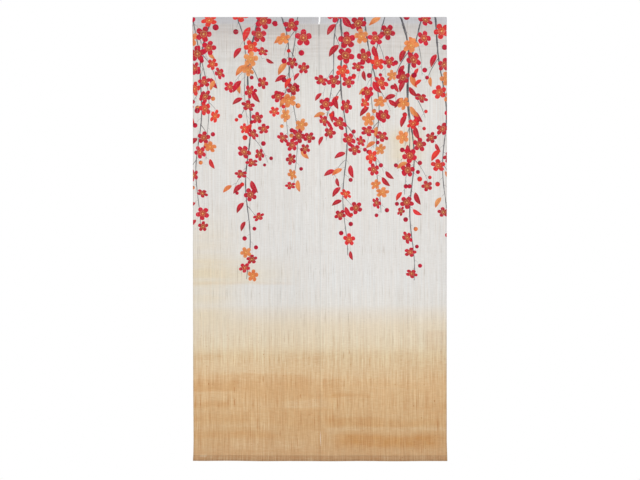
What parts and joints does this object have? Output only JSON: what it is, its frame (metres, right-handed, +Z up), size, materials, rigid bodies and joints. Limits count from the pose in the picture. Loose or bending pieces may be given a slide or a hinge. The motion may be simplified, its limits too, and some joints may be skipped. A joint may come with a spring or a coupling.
{
  "type": "noren curtain",
  "caption": "Split doorway curtain of two hemp cloth widths, sewn together at the top of the centre line, with an empty rod sleeve along its top edge.",
  "frame": {"origin": "middle of the top edge, in the sleeves' middle plane", "axes": "+Z up, +X across the curtain to the right as seen from its front, -Y out of its front face"},
  "size_m": [0.8613, 0.02, 1.5002],
  "materials": {
    "sleeve_hemp": "matt, slubby plain weave, undyed, doubled over the sleeve",
    "panel_hemp": "matt, slubby plain weave, undyed above and brush-dyed tan below"
  },
  "bodies": {
    "root": {"heading_left": "sleeve_hemp", "heading_right": "sleeve_hemp", "panel_left": "panel_hemp", "panel_right": "panel_hemp"}
  },
  "joints": []
}
